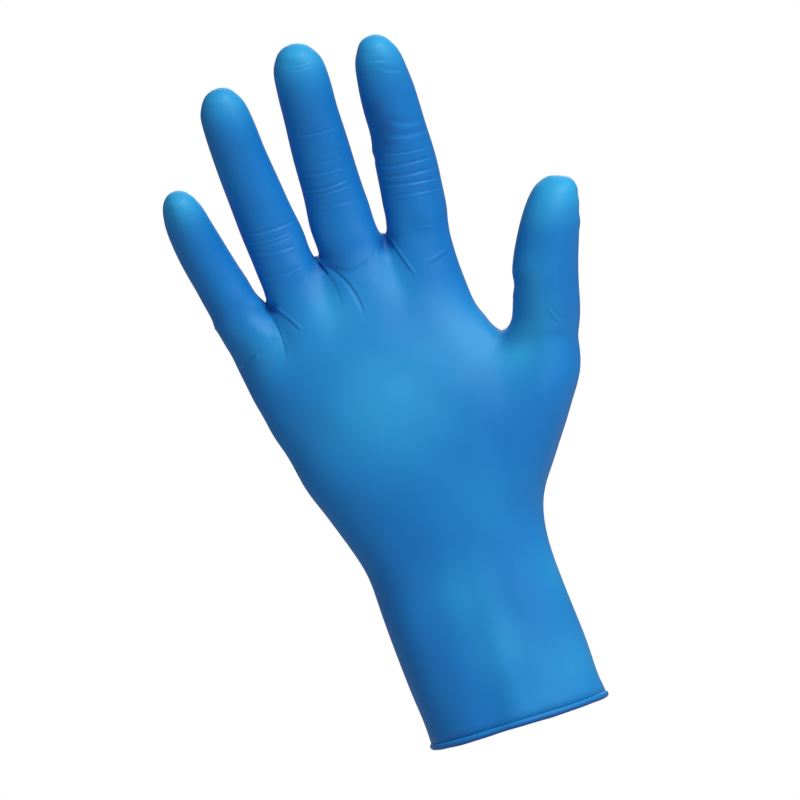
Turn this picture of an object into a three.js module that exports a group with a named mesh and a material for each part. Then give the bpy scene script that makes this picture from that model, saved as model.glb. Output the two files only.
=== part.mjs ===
// A hybrid disposable glove as it hangs on a right hand: one dipped film with five fingers
// and a straight sleeve, and the bead rolled at the sleeve's edge.
// Origin: the centre of the cuff opening. +Z runs up the forearm to the fingertips,
// +X points to the thumb, and the palm faces -Y.
import * as THREE from "three";

// Driving sizes, in millimetres
const gloveLength = 250;
const palmBreadth = 85;
const fingerBreadth = 21;
const filmWall = 1.2;
const beadRoll = 2.8;
const beadGap = 0.3;
const foldDepth = 1.2;

// Gives each row of a table its columns' names
function named(columns, rows) {
  return rows.map((row) => Object.fromEntries(columns.map((column, i) => [column, row[i]])));
}

// The trunk, from the bead past the thumb's base to the web line. up: share of gloveLength.
// The rest are shares of palmBreadth: the two edges, how far forward each edge lies, and
// the depth of the film in front and behind, at the left, in the middle and at the right.
const trunkColumns = ["up", "left", "right", "leftY", "rightY",
  "frontL", "frontC", "frontR", "backL", "backC", "backR"];
const trunk = named(trunkColumns, [
  [0.000, -0.376, 0.376, 0.00, 0.00, 0.290, 0.288, 0.290, 0.288, 0.288, 0.288],
  [0.040, -0.378, 0.368, 0.00, 0.00, 0.284, 0.280, 0.286, 0.280, 0.282, 0.280],
  [0.110, -0.397, 0.361, 0.00, 0.00, 0.276, 0.272, 0.282, 0.272, 0.276, 0.270],
  [0.190, -0.411, 0.342, 0.00, 0.00, 0.270, 0.262, 0.278, 0.262, 0.266, 0.258],
  [0.256, -0.418, 0.344, 0.00, 0.01, 0.266, 0.262, 0.286, 0.252, 0.256, 0.246],
  [0.296, -0.446, 0.372, 0.00, 0.03, 0.268, 0.270, 0.306, 0.244, 0.248, 0.236],
  [0.336, -0.484, 0.446, 0.00, 0.06, 0.270, 0.280, 0.338, 0.232, 0.238, 0.222],
  [0.376, -0.528, 0.532, 0.00, 0.09, 0.268, 0.284, 0.362, 0.218, 0.226, 0.200],
  [0.416, -0.566, 0.622, 0.00, 0.12, 0.260, 0.278, 0.370, 0.204, 0.216, 0.170],
  [0.450, -0.584, 0.678, 0.00, 0.14, 0.252, 0.268, 0.364, 0.196, 0.208, 0.140],
  [0.484, -0.614, 0.712, 0.00, 0.15, 0.244, 0.256, 0.350, 0.188, 0.200, 0.116],
  [0.510, -0.632, 0.722, 0.00, 0.15, 0.238, 0.246, 0.334, 0.184, 0.196, 0.104],
]);
const palm = named(trunkColumns, [
  [0.510, -0.632, 0.385, 0.00, 0.06, 0.238, 0.238, 0.250, 0.184, 0.196, 0.160],
  [0.540, -0.656, 0.378, 0.00, 0.03, 0.228, 0.226, 0.236, 0.178, 0.190, 0.166],
  [0.576, -0.672, 0.354, 0.00, 0.02, 0.214, 0.208, 0.214, 0.166, 0.180, 0.156],
  [0.608, -0.684, 0.337, 0.01, 0.02, 0.196, 0.194, 0.194, 0.146, 0.164, 0.136],
  [0.640, -0.706, 0.325, 0.02, 0.03, 0.178, 0.182, 0.178, 0.124, 0.142, 0.114],
  [0.700, -0.730, 0.330, 0.03, 0.04, 0.170, 0.174, 0.170, 0.090, 0.100, 0.090],
]);

// The five posts of the web line: the palm's two edges and the three crotches between the
// fingers. x, front and back are shares of palmBreadth, up and low of gloveLength: the
// crotch is highest halfway through the hand and runs down to low at both faces.
const posts = named(["x", "up", "low", "front", "back"], [
  [-0.710, 0.652, 0.650, 0.09, 0.03],
  [-0.488, 0.6700, 0.644, 0.108, 0.046],
  [-0.228, 0.7108, 0.688, 0.112, 0.050],
  [0.062, 0.7155, 0.688, 0.112, 0.050],
  [0.327, 0.684, 0.684, 0.10, 0.03],
]);
// The palm's two edges at the web line: how far each stands out past its post and how far
// forward both lie, shares of palmBreadth, and how far the line rises over each finger's
// middle, a share of fingerBreadth
const webEdge = { left: -0.026, right: 0.008, forward: 0.035 };
const webRise = 0.08;

// The fingers. tip is a share of gloveLength. Each row goes up a finger: the share of the
// way from base to tip, the axis across (share of palmBreadth), how far the axis has bent
// to the palm side and the two widths of the film (shares of fingerBreadth).
const fingerColumns = ["along", "across", "bend", "wide", "deep"];
const fingers = {
  little: { tip: 0.8525, rows: [
    [0.00, -0.598, 0.16, 0.99, 0.94], [0.12, -0.619, 0.17, 0.90, 0.90],
    [0.32, -0.648, 0.25, 0.82, 0.84], [0.52, -0.676, 0.41, 0.79, 0.80],
    [0.70, -0.696, 0.62, 0.76, 0.74], [0.83, -0.706, 0.79, 0.72, 0.68],
    [0.93, -0.714, 0.90, 0.58, 0.55], [0.975, -0.718, 0.96, 0.40, 0.40],
    [1.00, -0.720, 1.00, 0.20, 0.20]] },
  ring: { tip: 0.9748, rows: [
    [0.00, -0.345, 0.18, 1.14, 1.00], [0.10, -0.361, 0.18, 1.045, 0.95],
    [0.28, -0.382, 0.25, 0.99, 0.90], [0.47, -0.396, 0.42, 0.93, 0.87],
    [0.66, -0.409, 0.66, 0.88, 0.80], [0.81, -0.415, 0.88, 0.842, 0.74],
    [0.91, -0.419, 1.00, 0.75, 0.63], [0.972, -0.422, 1.08, 0.50, 0.44],
    [1.00, -0.424, 1.12, 0.25, 0.22]] },
  middle: { tip: 1.0036, rows: [
    [0.00, -0.078, 0.18, 1.12, 1.00], [0.10, -0.087, 0.18, 1.065, 0.97],
    [0.28, -0.085, 0.25, 1.01, 0.93], [0.47, -0.082, 0.43, 0.97, 0.90],
    [0.66, -0.077, 0.68, 0.928, 0.83], [0.81, -0.071, 0.91, 0.90, 0.77],
    [0.91, -0.070, 1.03, 0.80, 0.67], [0.972, -0.071, 1.11, 0.52, 0.46],
    [1.00, -0.072, 1.15, 0.25, 0.22]] },
  index: { tip: 0.9820, rows: [
    [0.00, 0.194, 0.18, 1.08, 1.00], [0.12, 0.215, 0.19, 1.044, 0.97],
    [0.30, 0.233, 0.27, 1.02, 0.93], [0.48, 0.243, 0.43, 0.975, 0.89],
    [0.66, 0.249, 0.64, 0.935, 0.82], [0.80, 0.251, 0.83, 0.86, 0.75],
    [0.90, 0.253, 0.96, 0.75, 0.64], [0.972, 0.254, 1.04, 0.46, 0.42],
    [1.00, 0.256, 1.08, 0.22, 0.20]] },
  thumb: { tip: 0.7125, rows: [
    [0.00, 0.566, 0.62, 1.26, 1.30], [0.12, 0.604, 0.66, 1.17, 1.18],
    [0.31, 0.637, 0.74, 1.15, 1.12], [0.50, 0.676, 0.82, 1.09, 1.10],
    [0.68, 0.722, 0.90, 1.01, 1.04], [0.80, 0.753, 0.97, 0.94, 0.94],
    [0.89, 0.789, 1.01, 0.85, 0.78], [0.955, 0.824, 1.04, 0.72, 0.58],
    [1.00, 0.850, 1.07, 0.48, 0.30]] },
};
const thumbBase = 0.516;
// The crotch beside the thumb: its highest point, and its corner in front and behind.
// Shares as for the posts; reach is how many columns of the palm sink towards it.
const thumbCrotch = { x: 0.384, forward: 0.08, up: 0.5350, corner: 0.365, low: 0.506,
  front: 0.205, back: 0.06, reach: 8 };

// Folds pressed into the film on the palm side. Each runs across the front view from one
// point to another and sags by its bow. Places are shares of palmBreadth across and of
// gloveLength up; deep is a share of foldDepth and broad, its half width, of fingerBreadth.
const folds = named(["x1", "up1", "x2", "up2", "bow", "deep", "broad"], [
  [0.150, 0.826, 0.345, 0.824, 0.006, 0.45, 0.16],
  [0.138, 0.799, 0.340, 0.798, 0.006, 0.75, 0.16],
  [0.128, 0.774, 0.345, 0.770, 0.006, 0.75, 0.16],
  [-0.135, 0.874, 0.005, 0.875, 0.004, 0.35, 0.15],
  [-0.175, 0.802, -0.012, 0.803, 0.005, 0.75, 0.16],
  [-0.172, 0.776, -0.018, 0.772, 0.006, 0.40, 0.16],
  [-0.478, 0.768, -0.280, 0.769, 0.002, 0.65, 0.16],
  [-0.485, 0.744, -0.312, 0.738, 0.003, 0.70, 0.16],
  [-0.465, 0.704, -0.320, 0.706, 0.003, 0.50, 0.16],
  [-0.205, 0.695, 0.010, 0.685, 0.010, 0.90, 0.20],
  [-0.475, 0.662, -0.374, 0.616, 0.000, 1.00, 0.20],
  [-0.468, 0.656, -0.469, 0.589, 0.000, 0.80, 0.20],
  [-0.212, 0.694, -0.108, 0.598, 0.004, 1.00, 0.20],
  [0.078, 0.710, 0.128, 0.646, 0.000, 1.00, 0.20],
  [-0.506, 0.616, -0.653, 0.589, 0.000, 0.80, 0.24],
  [0.180, 0.336, 0.420, 0.326, 0.010, 1.00, 0.45],
]);

// A section's form: how far its flat middle reaches to each side, a share of the breadth,
// and how round its face runs over into the edges
const sectionForm = { flat: 0.36, round: 0.82 };
// A finger's growth: where its last ring lies, how much the rings gather at both ends, how
// the first loop's shape fades, and over which share of a finger and of the thumb
const growth = { lastRing: 0.972, gather: 0.6, quick: 0.65, fall: 1.4, finger: 0.26, thumb: 0.5 };
const tipRound = 0.6;
const axisStep = 0.03;
// How the film settles round the crotches and at the web line's outer edges: over which
// reach, a share of fingerBreadth, and in how many rounds
const settling = { thumb: { reach: 1.1, rounds: 8 }, fingers: { reach: 0.45, rounds: 3 },
  edges: { reach: 0.5, rounds: 3 } };
// How the palm's depth is evened out: between which heights, over which stretch at both
// ends, all shares of gloveLength, and in how many rounds
const evening = { low: 0.28, high: 0.64, fade: 0.08, rounds: 6 };
// How far a fold runs on past its ends, and how long its ends take to fade, shares of it
const foldEnds = { past: 0.12, fade: 0.2 };
// How square to the front the film has to face to take a fold's full depth
const foldFacing = 1.6;
// The least cosine that the inner skin's distance allows for beside a sharp bend
const leastCosine = 0.6;

// How finely the film is cut up: columns across the palm's front, four spans to a finger,
// and across the thumb's, then rows up each stretch, and points round the bead.
const fingerSpanCount = 4;
const palmColumnCount = fingerSpanCount * 4 + 1;
const thumbColumnCount = 5;
const trunkColumnCount = palmColumnCount + thumbColumnCount;
const trunkRowCount = 18;
const palmRowCount = 5;
const fingerRowCount = 17;
const thumbRowCount = 11;
const beadPointCount = 10;

const mix = (a, b, t) => a + (b - a) * t;
const ease = (t) => {
  const c = THREE.MathUtils.clamp(t, 0, 1);
  return c * c * (3 - 2 * c);
};

// A smooth line through one column of a table, read at a value of its key column
function readTable(rows, key, name, value) {
  let i = 0;
  while (i < rows.length - 2 && value > rows[i + 1][key]) i += 1;
  const a = rows[i];
  const b = rows[i + 1];
  const before = rows[Math.max(i - 1, 0)];
  const after = rows[Math.min(i + 2, rows.length - 1)];
  const span = b[key] - a[key];
  const t = (value - a[key]) / span;
  const slopeA = ((b[name] - before[name]) / (b[key] - before[key])) * span;
  const slopeB = ((after[name] - a[name]) / (after[key] - a[key])) * span;
  const t2 = t * t;
  const t3 = t2 * t;
  return a[name] * (2 * t3 - 3 * t2 + 1) + slopeA * (t3 - 2 * t2 + t) +
    b[name] * (3 * t2 - 2 * t3) + slopeB * (t3 - t2);
}

// The film's outer skin: its points, and its four-sided faces
const skin = [];
const faces = [];
const put = (point) => skin.push(point) - 1;
function band(lower, upper) {
  lower.forEach((p, i) => {
    const next = (i + 1) % lower.length;
    faces.push([p, lower[next], upper[next], upper[i]]);
  });
}

// A point of the trunk or palm at one height, a share of the way across, front or back
function onSection(table, z, share, side) {
  const up = z / gloveLength;
  const read = (name) => readTable(table, "up", name, up) * palmBreadth;
  const edgeY = -mix(read("leftY"), read("rightY"), ease(share));
  const middle = ease(1 - Math.abs(share - 0.5) / sectionForm.flat);
  const end = share < 0.5 ? "L" : "R";
  const deep = mix(read(side + end), read(side + "C"), middle);
  const swell = (2 * Math.sqrt(share * (1 - share))) ** sectionForm.round;
  const faceY = side === "front" ? -deep : deep;
  return new THREE.Vector3(mix(read("left"), read("right"), share), mix(edgeY, faceY, swell), z);
}

// Loops run from the left edge along the front to the right edge and back behind. For each
// place: the column, counted from the left edge, and the side of the hand.
function places(front) {
  const count = 2 * front + 2;
  return Array.from({ length: count }, (_, i) =>
    (i <= front + 1 ? { column: i, side: "front" } : { column: count - i, side: "back" }));
}
const trunkPlaces = places(trunkColumnCount);
const palmPlaces = places(palmColumnCount);

// A point of a finger's axis, and the ring of film round it, a share of the way along
function fingerAxis(finger, along) {
  const read = (name) => readTable(finger.rows, "along", name, along);
  return new THREE.Vector3(read("across") * palmBreadth, -read("bend") * fingerBreadth,
    mix(finger.base, finger.tip, along) * gloveLength);
}
function fingerRing(finger, along, front) {
  const direction = fingerAxis(finger, along + axisStep)
    .sub(fingerAxis(finger, along - axisStep)).normalize();
  const across = new THREE.Vector3(direction.z, 0, -direction.x).normalize();
  const behind = new THREE.Vector3().crossVectors(direction, across);
  const wide = readTable(finger.rows, "along", "wide", along) * fingerBreadth / 2;
  const deep = readTable(finger.rows, "along", "deep", along) * fingerBreadth / 2;
  return places(front).map((_, i, all) => {
    const angle = Math.PI + (2 * Math.PI * i) / all.length;
    return fingerAxis(finger, along).addScaledVector(across, wide * Math.cos(angle))
      .addScaledVector(behind, deep * Math.sin(angle));
  });
}

for (const [name, finger] of Object.entries(fingers)) {
  const left = Object.keys(fingers).indexOf(name);
  finger.rows = named(fingerColumns, finger.rows);
  finger.base = name === "thumb" ? thumbBase : (posts[left].up + posts[left + 1].up) / 2;
}

// The web line: the loop at the top of the palm that the four fingers grow from
const fingerNames = ["little", "ring", "middle", "index"];
function webPoint({ column, side }) {
  const sign = side === "front" ? -1 : 1;
  if (column === 0 || column === palmColumnCount + 1) {
    const edge = column === 0 ? posts[0] : posts[4];
    const across = edge.x + (column === 0 ? webEdge.left : webEdge.right);
    return new THREE.Vector3(across * palmBreadth, -webEdge.forward * palmBreadth,
      edge.up * gloveLength);
  }
  const k = Math.min(Math.floor((column - 1) / fingerSpanCount), 3);
  const within = (column - 1) / fingerSpanCount - k;
  const [a, b] = [posts[k], posts[k + 1]];
  const ringPoints = fingerRing(fingers[fingerNames[k]], 0, fingerSpanCount + 1);
  const swell = Math.sin(Math.PI * within);
  const ringY = ringPoints[side === "front" ? 3 : 9].y;
  const cornerY = sign * mix(a[side], b[side], within) * palmBreadth;
  const z = mix(a.low, b.low, within) * gloveLength + webRise * fingerBreadth * swell;
  return new THREE.Vector3(mix(a.x, b.x, within) * palmBreadth, mix(cornerY, ringY, swell), z);
}
const webRow = palmPlaces.map(webPoint);

// The split row, where the thumb leaves the palm. It lies on the trunk's section, tilted down
// at the thumb side as the thumb's first ring is. The film sinks towards the crotch's corner
// in front and behind, over a reach of some columns to both sides.
const splitZ = thumbBase * gloveLength;
const thumbRing = fingerRing(fingers.thumb, 0, thumbColumnCount + 1);
const cornerX = thumbCrotch.corner * palmBreadth;
const crotchPoint = new THREE.Vector3(thumbCrotch.x * palmBreadth,
  -thumbCrotch.forward * palmBreadth, thumbCrotch.up * gloveLength);
const splitEdges = { left: readTable(trunk, "up", "left", thumbBase) * palmBreadth,
  right: thumbRing[thumbColumnCount + 2].x };
const shareAcross = (x) => (x - splitEdges.left) / (splitEdges.right - splitEdges.left);
const evenShare = (i, count) => (1 - Math.cos((Math.PI * i) / (count + 1))) / 2;
const cornerShare = evenShare(palmColumnCount, trunkColumnCount);
function splitPoint({ column, side }) {
  const palmward = Math.min(column / palmColumnCount, 1);
  const thumbward = column - palmColumnCount;
  const ringPoint = thumbRing[THREE.MathUtils.clamp(thumbward + 1, 0, thumbColumnCount + 2)];
  const share = thumbward > 0 ? shareAcross(ringPoint.x)
    : shareAcross(cornerX) * evenShare(column, trunkColumnCount) / cornerShare;
  const fallen = mix(splitZ, thumbCrotch.low * gloveLength, ease((palmward - 0.6) / 0.4));
  const z = thumbward > 0 ? Math.min(ringPoint.z, fallen) : fallen;
  const point = onSection(trunk, z, THREE.MathUtils.clamp(share, 0, 1), side);
  const near = Math.max(0, 1 - Math.abs(thumbward) / (thumbward > 0 ? 3 : thumbCrotch.reach));
  const depth = side === "front" ? -thumbCrotch.front : thumbCrotch.back;
  point.y = mix(point.y, depth * palmBreadth, near * near);
  return point;
}
const splitRow = trunkPlaces.map(splitPoint);

// A row between two finished rows: it lies on the table's section, and takes on as much of
// what sets each finished row off from that section as it is near to it.
function rowBetween(table, low, high, loopPlaces, rise, sharesLow, sharesHigh) {
  const offset = (point, share, side) =>
    point.y - onSection(table, point.z, THREE.MathUtils.clamp(share, 0, 1), side).y;
  return loopPlaces.map(({ side }, i) => {
    const share = THREE.MathUtils.clamp(mix(sharesLow[i], sharesHigh[i], ease(rise)), 0, 1);
    const point = onSection(table, mix(low[i].z, high[i].z, rise), share, side);
    point.y += offset(low[i], sharesLow[i], side) * (1 - rise) ** 2;
    point.y += offset(high[i], sharesHigh[i], side) * rise ** 3;
    return point;
  });
}
function sharesOf(points, right) {
  const left = points[0].x;
  return points.map((point) => (point.x - left) / (points[right].x - left));
}

// The trunk's rows rise from the bead to the split row, with even columns at their start
const filmFoot = beadRoll + beadGap;
const trunkEven = trunkPlaces.map(({ column }) => evenShare(column, trunkColumnCount));
const foot = trunkPlaces.map(({ side }, i) => onSection(trunk, filmFoot, trunkEven[i], side));
const splitShares = sharesOf(splitRow, trunkColumnCount + 1);
const footRow = foot.map(put);
let row = footRow;
for (let r = 1; r < trunkRowCount; r += 1) {
  const rise = r / trunkRowCount;
  const next = rowBetween(trunk, foot, splitRow, trunkPlaces, rise, trunkEven, splitShares).map(put);
  band(row, next);
  row = next;
}
const splitLoop = splitRow.map(put);
band(row, splitLoop);

// The palm's rows, from the split row's palm columns and the thumb's crotch to the web line
const crotch = put(crotchPoint);
let palmLoop = [...splitLoop.slice(0, palmColumnCount + 1), crotch, ...splitLoop.slice(-palmColumnCount)];
const palmFoot = palmLoop.map((p) => skin[p]);
const palmShares = sharesOf(palmFoot, palmColumnCount + 1);
const webShares = sharesOf(webRow, palmColumnCount + 1);
for (let r = 1; r <= palmRowCount; r += 1) {
  const points = r === palmRowCount ? webRow
    : rowBetween(palm, palmFoot, webRow, palmPlaces, r / palmRowCount, palmShares, webShares);
  const next = points.map(put);
  band(palmLoop, next);
  palmLoop = next;
}

// The crotches between the fingers, and each finger's first loop: its left post, five
// columns in front, its right post and five behind
const crotches = posts.slice(1, 4).map((post) =>
  put(new THREE.Vector3(post.x, (post.back - post.front) / 2, 0)
    .multiplyScalar(palmBreadth).setZ(post.up * gloveLength)));
const postPoints = [palmLoop[0], ...crotches, palmLoop[palmColumnCount + 1]];
const backOf = (column) => palmLoop[palmLoop.length - column];
function firstLoop(k) {
  const columns = Array.from({ length: fingerSpanCount + 1 }, (_, i) => k * fingerSpanCount + 1 + i);
  return [postPoints[k], ...columns.map((c) => palmLoop[c]), postPoints[k + 1],
    ...columns.reverse().map(backOf)];
}

// A finger grows ring by ring out of its first loop, whose own shape fades out over the
// first stretch, and is closed over the tip.
function growFinger(finger, start, rows, front, stretch) {
  const first = start.map((p) => skin[p].clone());
  const ideal = fingerRing(finger, 0, front);
  let lower = start;
  for (let r = 1; r <= rows; r += 1) {
    const t = r / rows;
    const along = growth.lastRing * mix(t, (1 - Math.cos(Math.PI * t)) / 2, growth.gather);
    const fade = Math.max(0, 1 - (along / stretch) ** growth.quick) ** growth.fall;
    const ring = fingerRing(finger, along, front).map((point, i) =>
      put(point.addScaledVector(first[i].clone().sub(ideal[i]), fade)));
    band(lower, ring);
    lower = ring;
  }
  closeTip(finger, lower, front);
}

function closeTip(finger, loop, front) {
  const left = skin[loop[0]];
  const right = skin[loop[front + 1]];
  const tip = fingerAxis(finger, 1).sub(left.clone().lerp(right, 0.5));
  const middles = Array.from({ length: front - 2 }, (_, i) => {
    const t = (i + 1) / (front - 1);
    return put(left.clone().lerp(right, t).addScaledVector(tip, Math.sin(Math.PI * t) ** tipRound));
  });
  const middleRow = [loop[0], ...middles, loop[front + 1]];
  const frontRow = loop.slice(1, front + 1);
  const backRow = loop.slice(front + 2).reverse();
  for (let i = 0; i < front - 1; i += 1) {
    faces.push([frontRow[i], frontRow[i + 1], middleRow[i + 1], middleRow[i]]);
    faces.push([middleRow[i], middleRow[i + 1], backRow[i + 1], backRow[i]]);
  }
}

fingerNames.forEach((name, k) =>
  growFinger(fingers[name], firstLoop(k), fingerRowCount, fingerSpanCount + 1, growth.finger));
const thumbLoop = [crotch, ...splitLoop.slice(palmColumnCount, splitLoop.length - palmColumnCount + 1)];
growFinger(fingers.thumb, thumbLoop, thumbRowCount, thumbColumnCount + 1, growth.thumb);

const neighbours = skin.map(() => new Set());
faces.forEach((face) => face.forEach((p, i) => {
  const next = face[(i + 1) % face.length];
  neighbours[p].add(next);
  neighbours[next].add(p);
}));
function middleOf(points) {
  const middle = new THREE.Vector3();
  points.forEach((point) => middle.add(point));
  return middle.divideScalar(points.length);
}

// The film is drawn smooth round the crotches: each point near one settles towards the
// middle of its neighbours. The crotches themselves keep their height.
function settle(centres, { reach, rounds }) {
  const near = (point, c) => ease(1.25 - point.distanceTo(skin[c]) / (reach * fingerBreadth));
  const pulls = skin.map((point) => Math.max(...centres.map((c) => near(point, c))));
  for (let i = 0; i < rounds; i += 1) {
    const before = skin.map((point) => point.clone());
    skin.forEach((point, p) => {
      if (!pulls[p] || footRow.includes(p)) return;
      const middle = middleOf([...neighbours[p]].map((q) => before[q]));
      if (centres.includes(p)) middle.z = point.z;
      point.lerp(middle, pulls[p] / 2);
    });
  }
}
settle([crotch], settling.thumb);
settle(crotches, settling.fingers);
settle([postPoints[0], postPoints[4]], settling.edges);

// Drawn tight across the hollow of the hand, the film lies evenly deep in front and behind,
// from the wrist up to the fingers, whose own points come after the crotches
function evenOut({ low, high, fade, rounds }) {
  const pulls = skin.slice(0, crotches[0]).map((point) => {
    const up = point.z / gloveLength;
    return ease((up - low) / fade) * ease((high - up) / fade) / 2;
  });
  for (let i = 0; i < rounds; i += 1) {
    const before = skin.map((point) => point.y);
    pulls.forEach((pull, p) => {
      const around = [...neighbours[p]].map((q) => before[q]);
      skin[p].y = mix(before[p], around.reduce((sum, y) => sum + y, 0) / around.length, pull);
    });
  }
}
evenOut(evening);

// The direction straight out of the film at each point, and how much further than the wall
// the inner skin is set in there, so that the wall stays full beside a sharp bend
function outwards() {
  const normals = skin.map(() => new THREE.Vector3());
  const faceNormals = faces.map((face) => {
    const [a, b, c, d] = face.map((p) => skin[p]);
    const normal = c.clone().sub(a).cross(d.clone().sub(b));
    face.forEach((p) => normals[p].add(normal));
    return normal.normalize();
  });
  normals.forEach((normal) => normal.normalize());
  [crotch, ...crotches].forEach((p) => {
    const above = [...neighbours[p]].map((q) => skin[q]).filter((point) => point.z > skin[p].z);
    normals[p].copy(middleOf(above)).sub(skin[p]).normalize();
  });
  const stretch = skin.map(() => 1);
  faces.forEach((face, f) => face.forEach((p) => {
    const along = Math.max(normals[p].dot(faceNormals[f]), leastCosine);
    stretch[p] = Math.max(stretch[p], 1 / along);
  }));
  return { normals, stretch };
}

// The folds press the palm side in. A fold's depth dies away to both sides and at its ends.
outwards().normals.forEach((normal, p) => {
  const point = skin[p];
  const facing = THREE.MathUtils.clamp(-normal.y * foldFacing, 0, 1);
  let pressed = 0;
  folds.forEach((fold) => {
    const from = new THREE.Vector2(fold.x1 * palmBreadth, fold.up1 * gloveLength);
    const to = new THREE.Vector2(fold.x2 * palmBreadth, fold.up2 * gloveLength);
    const run = to.clone().sub(from);
    const here = new THREE.Vector2(point.x, point.z).sub(from);
    const t = here.dot(run) / run.lengthSq();
    const sag = fold.bow * gloveLength * 4 * t * (1 - t);
    const off = here.cross(run) / run.length() - sag;
    const ends = ease((0.5 + foldEnds.past - Math.abs(t - 0.5)) / foldEnds.fade);
    pressed += fold.deep * ends * Math.exp(-((off / (fold.broad * fingerBreadth)) ** 2));
  });
  point.addScaledVector(normal, -pressed * foldDepth * facing);
});

// The film: the outer skin, the same skin set in by the wall, and the flat edge at the foot
function filmGeometry() {
  const { normals, stretch } = outwards();
  const inner = skin.map((point, p) => {
    const normal = normals[p];
    if (footRow.includes(p)) normal.setZ(0).normalize();
    return point.clone().addScaledVector(normal, -filmWall * stretch[p]);
  });
  const shift = skin.length;
  const triangles = [];
  const addFace = (points) => {
    for (let i = 2; i < points.length; i += 1) triangles.push(points[0], points[i - 1], points[i]);
  };
  faces.forEach(([a, b, c, d]) => {
    addFace([a, b, c, d]);
    addFace([a + shift, d + shift, c + shift, b + shift]);
  });
  footRow.forEach((p, i) => {
    const next = footRow[(i + 1) % footRow.length];
    addFace([p, p + shift, next + shift, next]);
  });
  return geometryOf([...skin, ...inner], triangles);
}

function geometryOf(points, triangles) {
  const geometry = new THREE.BufferGeometry().setFromPoints(points);
  geometry.setIndex(triangles);
  geometry.computeVertexNormals();
  return geometry;
}

// The bead: a round roll that follows the film's edge, just clear of it
function beadGeometry() {
  const radius = beadRoll / 2;
  const edge = footRow.map((p) => skin[p]);
  const points = [];
  edge.forEach((point, i) => {
    const before = edge[(i + edge.length - 1) % edge.length];
    const after = edge[(i + 1) % edge.length];
    const out = new THREE.Vector3(after.y - before.y, before.x - after.x, 0).normalize();
    const middle = point.clone().addScaledVector(out, -filmWall / 2).setZ(radius);
    for (let j = 0; j < beadPointCount; j += 1) {
      const angle = (2 * Math.PI * j) / beadPointCount;
      const offset = out.clone().multiplyScalar(radius * Math.cos(angle));
      points.push(middle.clone().add(offset).setZ(radius + radius * Math.sin(angle)));
    }
  });
  const triangles = [];
  edge.forEach((_, i) => {
    const next = (i + 1) % edge.length;
    for (let j = 0; j < beadPointCount; j += 1) {
      const up = (j + 1) % beadPointCount;
      const [a, b] = [i * beadPointCount + j, next * beadPointCount + j];
      const [c, d] = [next * beadPointCount + up, i * beadPointCount + up];
      triangles.push(a, b, c, a, c, d);
    }
  });
  return geometryOf(points, triangles);
}

const film = new THREE.Mesh(filmGeometry(),
  new THREE.MeshStandardMaterial({ color: 0x1e78c8, roughness: 0.42, metalness: 0 }));
film.name = "glove_film";
const bead = new THREE.Mesh(beadGeometry(),
  new THREE.MeshStandardMaterial({ color: 0x1a6cbc, roughness: 0.45, metalness: 0 }));
bead.name = "cuff_bead";

const glove = new THREE.Group();
glove.add(film, bead);
export default glove;
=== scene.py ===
# A worn hybrid disposable glove: one dipped blue film and the bead rolled at its cuff.
# It is held up by what it is worn on, fingers up, with the palm facing -Y.
import math

import bmesh
import bpy
import numpy as np
from mathutils import Matrix, Vector


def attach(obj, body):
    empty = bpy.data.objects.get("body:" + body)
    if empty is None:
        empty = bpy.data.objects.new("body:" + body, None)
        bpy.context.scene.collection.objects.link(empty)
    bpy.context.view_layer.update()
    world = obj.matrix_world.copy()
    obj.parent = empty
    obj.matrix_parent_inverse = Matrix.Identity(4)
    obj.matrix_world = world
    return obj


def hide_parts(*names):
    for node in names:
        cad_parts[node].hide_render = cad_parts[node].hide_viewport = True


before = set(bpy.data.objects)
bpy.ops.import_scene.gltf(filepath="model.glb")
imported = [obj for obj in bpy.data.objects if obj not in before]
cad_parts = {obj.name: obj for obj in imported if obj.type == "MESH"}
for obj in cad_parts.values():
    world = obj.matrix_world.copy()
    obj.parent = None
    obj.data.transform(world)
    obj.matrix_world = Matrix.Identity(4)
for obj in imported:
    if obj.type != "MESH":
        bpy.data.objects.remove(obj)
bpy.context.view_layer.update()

# The dipped film.
# A hand-shaped former is dipped into liquid vinyl and nitrile, and the skin that sets on it
# is pulled off as one seamless piece. Worn, it takes on the hand's shape and creases over it.
glove_length = 0.250
palm_breadth = 0.085
finger_breadth = 0.021
film_wall = 0.0012
film_foot = 0.0031
film_rim = 0.0016

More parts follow.
